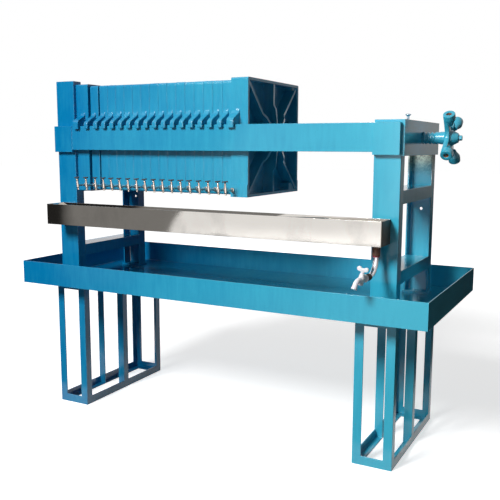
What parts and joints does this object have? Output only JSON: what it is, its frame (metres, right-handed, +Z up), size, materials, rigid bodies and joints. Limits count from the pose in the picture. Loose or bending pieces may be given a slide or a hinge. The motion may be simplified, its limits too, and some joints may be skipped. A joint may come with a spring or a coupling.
{
  "type": "plate filter press",
  "caption": "Hand-screwed plate filter press on a drip tray and angle-iron legs, with lugged plates on side beams, drain cocks, a collecting trough and an outlet tap.",
  "frame": {"origin": "middle of the overall length and width, on the floor", "axes": "+X along the press from the fixed head to the hand wheel, +Y to the back, +Z up"},
  "size_m": [1.849, 0.8879, 1.476],
  "materials": {
    "blue_enamel": "gloss",
    "stainless": "bright",
    "chrome_plate": "polished",
    "galvanised": "satin",
    "dark_iron": "rough",
    "white_plastic": "gloss"
  },
  "bodies": {
    "frame": {"left_leg_frame": "blue_enamel", "right_leg_frame": "blue_enamel", "drip_tray": "blue_enamel", "front_left_post": "blue_enamel", "back_left_post": "blue_enamel", "front_right_post": "blue_enamel", "back_right_post": "blue_enamel", "left_cross_rungs": "blue_enamel", "right_cross_rungs": "blue_enamel", "front_side_beam": "blue_enamel", "back_side_beam": "blue_enamel", "crosshead": "blue_enamel", "screw_nut": "blue_enamel", "oil_bolt": "chrome_plate", "fixed_head": "blue_enamel", "fixed_head_cock": "chrome_plate", "collecting_trough": "stainless", "outlet_socket": "dark_iron", "outlet_elbow": "galvanised", "tap_body": "white_plastic"},
    "moving_head": {"moving_head": "blue_enamel", "moving_head_cock": "chrome_plate"},
    "screw": {"press_screw": "blue_enamel", "hand_wheel": "blue_enamel", "wheel_nut": "blue_enamel"},
    "tap_lever": {"tap_handle": "white_plastic"},
    "plate_01": {"filter_plate_01": "blue_enamel", "plate_cock_01": "chrome_plate"},
    "plate_02": {"filter_plate_02": "blue_enamel", "plate_cock_02": "chrome_plate"},
    "plate_03": {"filter_plate_03": "blue_enamel", "plate_cock_03": "chrome_plate"},
    "plate_04": {"filter_plate_04": "blue_enamel", "plate_cock_04": "chrome_plate"},
    "plate_05": {"filter_plate_05": "blue_enamel", "plate_cock_05": "chrome_plate"},
    "plate_06": {"filter_plate_06": "blue_enamel", "plate_cock_06": "chrome_plate"},
    "plate_07": {"filter_plate_07": "blue_enamel", "plate_cock_07": "chrome_plate"},
    "plate_08": {"filter_plate_08": "blue_enamel", "plate_cock_08": "chrome_plate"},
    "plate_09": {"filter_plate_09": "blue_enamel", "plate_cock_09": "chrome_plate"},
    "plate_10": {"filter_plate_10": "blue_enamel", "plate_cock_10": "chrome_plate"},
    "plate_11": {"filter_plate_11": "blue_enamel", "plate_cock_11": "chrome_plate"},
    "plate_12": {"filter_plate_12": "blue_enamel", "plate_cock_12": "chrome_plate"},
    "plate_13": {"filter_plate_13": "blue_enamel", "plate_cock_13": "chrome_plate"},
    "plate_14": {"filter_plate_14": "blue_enamel", "plate_cock_14": "chrome_plate"},
    "plate_15": {"filter_plate_15": "blue_enamel", "plate_cock_15": "chrome_plate"},
    "plate_16": {"filter_plate_16": "blue_enamel", "plate_cock_16": "chrome_plate"}
  },
  "joints": [
    {"name": "screw_turn", "type": "hinge", "parent": "moving_head", "child": "screw", "pos_m": [0.0717, 0.04534, 1.2258], "axis": [1, 0, 0], "range_deg": [0, 10800]},
    {"name": "head_slide", "type": "slide", "parent": "frame", "child": "moving_head", "axis": [1, 0, 0], "range_m": [0, 0.3]},
    {"name": "plate_01_slide", "type": "slide", "parent": "frame", "child": "plate_01", "axis": [1, 0, 0], "range_m": [0, 0.01765]},
    {"name": "plate_02_slide", "type": "slide", "parent": "frame", "child": "plate_02", "axis": [1, 0, 0], "range_m": [0, 0.03529]},
    {"name": "plate_03_slide", "type": "slide", "parent": "frame", "child": "plate_03", "axis": [1, 0, 0], "range_m": [0, 0.05294]},
    {"name": "plate_04_slide", "type": "slide", "parent": "frame", "child": "plate_04", "axis": [1, 0, 0], "range_m": [0, 0.07059]},
    {"name": "plate_05_slide", "type": "slide", "parent": "frame", "child": "plate_05", "axis": [1, 0, 0], "range_m": [0, 0.08824]},
    {"name": "plate_06_slide", "type": "slide", "parent": "frame", "child": "plate_06", "axis": [1, 0, 0], "range_m": [0, 0.10588]},
    {"name": "plate_07_slide", "type": "slide", "parent": "frame", "child": "plate_07", "axis": [1, 0, 0], "range_m": [0, 0.12353]},
    {"name": "plate_08_slide", "type": "slide", "parent": "frame", "child": "plate_08", "axis": [1, 0, 0], "range_m": [0, 0.14118]},
    {"name": "plate_09_slide", "type": "slide", "parent": "frame", "child": "plate_09", "axis": [1, 0, 0], "range_m": [0, 0.15882]},
    {"name": "plate_10_slide", "type": "slide", "parent": "frame", "child": "plate_10", "axis": [1, 0, 0], "range_m": [0, 0.17647]},
    {"name": "plate_11_slide", "type": "slide", "parent": "frame", "child": "plate_11", "axis": [1, 0, 0], "range_m": [0, 0.19412]},
    {"name": "plate_12_slide", "type": "slide", "parent": "frame", "child": "plate_12", "axis": [1, 0, 0], "range_m": [0, 0.21177]},
    {"name": "plate_13_slide", "type": "slide", "parent": "frame", "child": "plate_13", "axis": [1, 0, 0], "range_m": [0, 0.22941]},
    {"name": "plate_14_slide", "type": "slide", "parent": "frame", "child": "plate_14", "axis": [1, 0, 0], "range_m": [0, 0.24706]},
    {"name": "plate_15_slide", "type": "slide", "parent": "frame", "child": "plate_15", "axis": [1, 0, 0], "range_m": [0, 0.26471]},
    {"name": "plate_16_slide", "type": "slide", "parent": "frame", "child": "plate_16", "axis": [1, 0, 0], "range_m": [0, 0.28235]},
    {"name": "tap_turn", "type": "hinge", "parent": "frame", "child": "tap_lever", "pos_m": [0.68836, -0.38118, 0.76018], "axis": [-0.1384, 0.0145, 0.9903], "range_deg": [0, 90]}
  ],
  "couplings": [
    {"joint": "head_slide", "follows": "screw_turn", "m_per_rad": 0.0015915},
    {"joint": "plate_01_slide", "follows": "screw_turn", "m_per_rad": 0.000093621},
    {"joint": "plate_02_slide", "follows": "screw_turn", "m_per_rad": 0.00018724},
    {"joint": "plate_03_slide", "follows": "screw_turn", "m_per_rad": 0.00028086},
    {"joint": "plate_04_slide", "follows": "screw_turn", "m_per_rad": 0.00037448},
    {"joint": "plate_05_slide", "follows": "screw_turn", "m_per_rad": 0.0004681},
    {"joint": "plate_06_slide", "follows": "screw_turn", "m_per_rad": 0.00056172},
    {"joint": "plate_07_slide", "follows": "screw_turn", "m_per_rad": 0.00065534},
    {"joint": "plate_08_slide", "follows": "screw_turn", "m_per_rad": 0.00074896},
    {"joint": "plate_09_slide", "follows": "screw_turn", "m_per_rad": 0.00084258},
    {"joint": "plate_10_slide", "follows": "screw_turn", "m_per_rad": 0.00093621},
    {"joint": "plate_11_slide", "follows": "screw_turn", "m_per_rad": 0.0010298},
    {"joint": "plate_12_slide", "follows": "screw_turn", "m_per_rad": 0.0011234},
    {"joint": "plate_13_slide", "follows": "screw_turn", "m_per_rad": 0.0012171},
    {"joint": "plate_14_slide", "follows": "screw_turn", "m_per_rad": 0.0013107},
    {"joint": "plate_15_slide", "follows": "screw_turn", "m_per_rad": 0.0014043},
    {"joint": "plate_16_slide", "follows": "screw_turn", "m_per_rad": 0.0014979}
  ]
}
